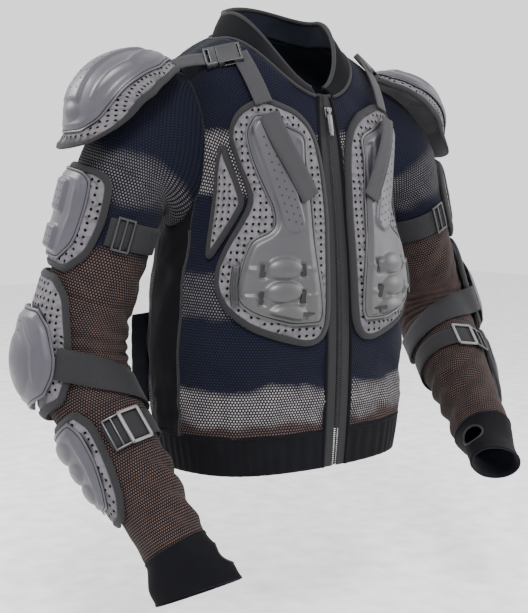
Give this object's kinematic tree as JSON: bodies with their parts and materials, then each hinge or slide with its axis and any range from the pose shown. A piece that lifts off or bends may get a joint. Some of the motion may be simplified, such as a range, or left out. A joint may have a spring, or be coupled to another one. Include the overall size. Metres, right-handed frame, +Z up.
{
  "type": "armoured riding jacket",
  "caption": "Zipped mesh riding jacket with sewn-on chest, spine, shoulder, arm and elbow guards, kidney belt, straps and release buckles, in its worn shape.",
  "frame": {"origin": "middle of the neck opening, level with the middle height of the collar seam", "axes": "+Z up along the spine, the front with the zip faces -Y, the left arm of the wearer is at +X"},
  "size_m": [0.8437, 0.3916, 0.8067],
  "materials": {
    "mesh": "open knitted mesh over a lining",
    "lycra": "fine stretch knit",
    "pad": "perforated foam covered in smooth cloth",
    "shell": "moulded satin polymer",
    "webbing": "woven elastic tape",
    "buckle": "moulded acetal",
    "zip": "woven tape with moulded teeth",
    "metal": "dark lacquered die casting"
  },
  "bodies": {
    "root": {"front_panel_right": "mesh", "side_panel_right": "lycra", "chest_pad_right": "pad", "chest_shell_right": "shell", "rib_pad_right": "pad", "buckle_socket_right": "buckle", "front_panel_left": "mesh", "side_panel_left": "lycra", "chest_pad_left": "pad", "chest_shell_left": "shell", "rib_pad_left": "pad", "buckle_socket_left": "buckle", "back_panel": "mesh", "collar": "lycra", "hem_band": "lycra", "front_zip": "zip", "kidney_belt": "webbing", "spine_pad": "pad", "spine_plate_1": "shell", "sleeve_head_right": "mesh", "shoulder_strap_right": "webbing", "sleeve_head_left": "mesh", "shoulder_strap_left": "webbing"},
    "zip_slider": {"zip_slider": "metal"},
    "zip_pull": {"zip_pull": "metal"},
    "spine_plate_2": {"spine_plate_2": "shell"},
    "spine_plate_3": {"spine_plate_3": "shell"},
    "spine_plate_4": {"spine_plate_4": "shell"},
    "buckle_plug_right": {"buckle_plug_right": "buckle"},
    "upper_arm_right": {"upper_sleeve_right": "mesh", "elbow_gusset_right": "mesh", "shoulder_pad_right": "pad", "shoulder_shell_right": "shell", "upper_arm_pad_right": "pad", "upper_arm_shell_right": "shell", "upper_arm_strap_right": "webbing"},
    "elbow_guard_right": {"elbow_pad_right": "pad", "elbow_shell_right": "shell"},
    "forearm_right": {"forearm_sleeve_right": "mesh", "cuff_right": "lycra", "elbow_strap_right": "webbing", "forearm_pad_right": "pad", "forearm_shell_right": "shell", "forearm_strap_right": "webbing"},
    "buckle_plug_left": {"buckle_plug_left": "buckle"},
    "upper_arm_left": {"upper_sleeve_left": "mesh", "elbow_gusset_left": "mesh", "shoulder_pad_left": "pad", "shoulder_shell_left": "shell", "upper_arm_pad_left": "pad", "upper_arm_shell_left": "shell", "upper_arm_strap_left": "webbing"},
    "elbow_guard_left": {"elbow_pad_left": "pad", "elbow_shell_left": "shell"},
    "forearm_left": {"forearm_sleeve_left": "mesh", "cuff_left": "lycra", "elbow_strap_left": "webbing", "forearm_pad_left": "pad", "forearm_shell_left": "shell", "forearm_strap_left": "webbing"}
  },
  "joints": [
    {"name": "zip_travel", "type": "hinge", "parent": "root", "child": "zip_slider", "pos_m": [0, 1.5387, -0.3946], "axis": [1, 0, 0], "range_deg": [0, 16]},
    {"name": "zip_pull_swing", "type": "hinge", "parent": "zip_slider", "child": "zip_pull", "pos_m": [0, -0.12366, -0.07291], "axis": [-1, 0, 0], "range_deg": [0, 150]},
    {"name": "spine_lift_2", "type": "hinge", "parent": "root", "child": "spine_plate_2", "pos_m": [0, 0.12805, -0.12305], "axis": [1, 0, 0], "range_deg": [0, 8]},
    {"name": "spine_lift_3", "type": "hinge", "parent": "root", "child": "spine_plate_3", "pos_m": [0, 0.13362, -0.25065], "axis": [1, 0, 0], "range_deg": [0, 8]},
    {"name": "spine_lift_4", "type": "hinge", "parent": "root", "child": "spine_plate_4", "pos_m": [0, 0.13314, -0.37474], "axis": [1, 0, 0], "range_deg": [0, 8]},
    {"name": "buckle_release_right", "type": "slide", "parent": "root", "child": "buckle_plug_right", "axis": [-0.8287, 0.5239, -0.1969], "range_m": [0, 0.024]},
    {"name": "shoulder_right", "type": "hinge", "parent": "root", "child": "upper_arm_right", "pos_m": [-0.226, 0, -0.086], "axis": [-1, 0, 0], "range_deg": [-10, 30], "deforming": ["sleeve_head_right", "shoulder_strap_right"]},
    {"name": "elbow_right", "type": "hinge", "parent": "upper_arm_right", "child": "forearm_right", "pos_m": [-0.30615, 0.05865, -0.41639], "axis": [-0.8713, -0.474, 0.1272], "range_deg": [-30, 34], "deforming": ["elbow_gusset_right", "elbow_pad_right"]},
    {"name": "elbow_guard_follow_right", "type": "hinge", "parent": "upper_arm_right", "child": "elbow_guard_right", "pos_m": [-0.30615, 0.05865, -0.41639], "axis": [-0.8713, -0.474, 0.1272], "range_deg": [-15, 17]},
    {"name": "buckle_release_left", "type": "slide", "parent": "root", "child": "buckle_plug_left", "axis": [0.8287, 0.5239, -0.1969], "range_m": [0, 0.024]},
    {"name": "shoulder_left", "type": "hinge", "parent": "root", "child": "upper_arm_left", "pos_m": [0.226, 0, -0.086], "axis": [-1, 0, 0], "range_deg": [-10, 30], "deforming": ["sleeve_head_left", "shoulder_strap_left"]},
    {"name": "elbow_left", "type": "hinge", "parent": "upper_arm_left", "child": "forearm_left", "pos_m": [0.37999, 0.04162, -0.39191], "axis": [-0.7474, 0.5952, -0.2953], "range_deg": [-40, 28], "deforming": ["elbow_gusset_left", "elbow_pad_left"]},
    {"name": "elbow_guard_follow_left", "type": "hinge", "parent": "upper_arm_left", "child": "elbow_guard_left", "pos_m": [0.37999, 0.04162, -0.39191], "axis": [-0.7474, 0.5952, -0.2953], "range_deg": [-20, 14]}
  ],
  "couplings": [
    {"joint": "elbow_guard_follow_right", "follows": "elbow_right", "ratio": 0.5},
    {"joint": "elbow_guard_follow_left", "follows": "elbow_left", "ratio": 0.5}
  ]
}
